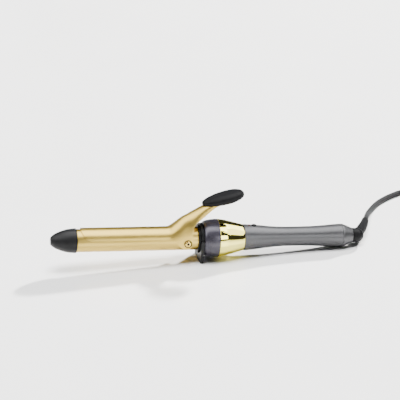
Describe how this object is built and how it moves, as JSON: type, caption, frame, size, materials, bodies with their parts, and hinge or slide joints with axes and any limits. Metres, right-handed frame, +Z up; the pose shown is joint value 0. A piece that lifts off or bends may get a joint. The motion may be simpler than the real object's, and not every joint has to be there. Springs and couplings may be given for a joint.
{
  "type": "curling iron",
  "caption": "Spring-clip hair curling iron: a satin gold heated barrel with a thumb-lever clamp, grey tapered handle, fold-out stand and a swivel mains cord.",
  "frame": {"origin": "on the table, under the middle of the iron's length and width, cord left out", "axes": "+X along the iron from cool tip to handle, +Y to the side the cord leaves on, +Z up; the iron rests on its stand and its handle's end, so its own axis dips 3.9 degrees towards +X"},
  "size_m": [0.5459, 0.1675, 0.0771],
  "materials": {
    "satin_gold_barrel": "satin champagne gold, brushed lengthwise, semi-gloss",
    "satin_gold_clip": "satin champagne gold lacquer on spring steel",
    "mirror_gold": "vacuum metallised, mirror gold",
    "handle_grey": "satin lacquer with a fine metallic fleck",
    "dark_grey": "satin lacquer, bluish dark grey",
    "black_plastic": "moulded black, fine spark texture",
    "heat_plastic": "glass filled, dull",
    "black_rubber": "soft moulded, satin",
    "tie_black": "woven hook and loop strap, dull",
    "cord_grey": "dark grey flexible jacket, slight sheen",
    "screw_steel": "polished head with a warm tint",
    "steel": "plain",
    "brass": "bright",
    "heater_aluminium": "as extruded",
    "ceramic": "fired ceramic, dull",
    "mica": "layered mica board",
    "lens_red": "clear red moulding",
    "board_green": "solder resist",
    "capacitor_blue": "shrink sleeve",
    "lead_white": "heat proof sleeving",
    "lead_blue": "insulated wire",
    "lead_brown": "insulated wire"
  },
  "bodies": {
    "iron_body": {"barrel_tube": "satin_gold_barrel", "barrel_mount": "heat_plastic", "cool_tip": "black_plastic", "tip_insulator": "mica", "clip_spring": "steel", "pivot_block": "steel", "pivot_screw_left": "screw_steel", "pivot_screw_right": "screw_steel", "neck_ring": "black_plastic", "stand_pin_left": "steel", "stand_pin_right": "steel", "collar": "dark_grey", "gold_band": "mirror_gold", "handle_upper_shell": "handle_grey", "handle_lower_shell": "handle_grey", "handle_screw_front": "steel", "handle_screw_rear": "steel", "indicator_lens": "lens_red", "indicator_led": "lens_red", "rear_cap": "handle_grey", "contact_brush_left": "brass", "contact_brush_right": "brass", "cord": "cord_grey", "cord_coil": "cord_grey", "cord_tail": "cord_grey", "coil_tie": "tie_black", "plug_body": "black_plastic", "plug_pin_left": "brass", "plug_pin_right": "brass", "heater_block_upper": "heater_aluminium", "heater_block_lower": "heater_aluminium", "ptc_plate_front": "ceramic", "ptc_plate_rear": "ceramic", "heater_leaf_spring": "steel", "temperature_sensor": "ceramic", "thermal_fuse": "steel", "heater_lead_left": "lead_white", "heater_lead_right": "lead_white", "sensor_lead": "lead_white", "control_board": "board_green", "controller_chip": "black_plastic", "triac": "black_plastic", "capacitor": "capacitor_blue", "tact_switch": "black_plastic", "supply_lead_left": "lead_blue", "supply_lead_right": "lead_brown"},
    "clip": {"clip": "satin_gold_clip", "thumb_rest": "black_plastic", "thumb_rest_screw": "steel"},
    "stand": {"stand": "black_plastic"},
    "power_button": {"power_button": "black_plastic"},
    "cord_swivel": {"swivel_housing": "black_plastic", "swivel_spindle": "black_plastic", "slip_ring_front": "brass", "slip_ring_rear": "brass", "strain_relief": "black_rubber"}
  },
  "joints": [
    {"name": "clip_pivot", "type": "hinge", "parent": "iron_body", "child": "clip", "pos_m": [-0.02618, 0, 0.02406], "axis": [0, 1, 0], "range_deg": [0, 16], "stiffness_Nm_per_rad": 0.35, "springref_deg": -20.05, "deforming": ["clip_spring"]},
    {"name": "stand_fold", "type": "hinge", "parent": "iron_body", "child": "stand", "pos_m": [-0.00993, 0, 0.02494], "axis": [0, 1, 0], "range_deg": [0, 28]},
    {"name": "power_press", "type": "slide", "parent": "iron_body", "child": "power_button", "axis": [-0.0689, 0, -0.9976], "range_m": [0, 0.0007], "stiffness_N_per_m": 1500, "springref_m": -0.0005},
    {"name": "cord_turn", "type": "hinge", "parent": "iron_body", "child": "cord_swivel", "pos_m": [0.16873, 0, 0.01161], "axis": [0.9976, 0, -0.0689], "continuous": true}
  ]
}
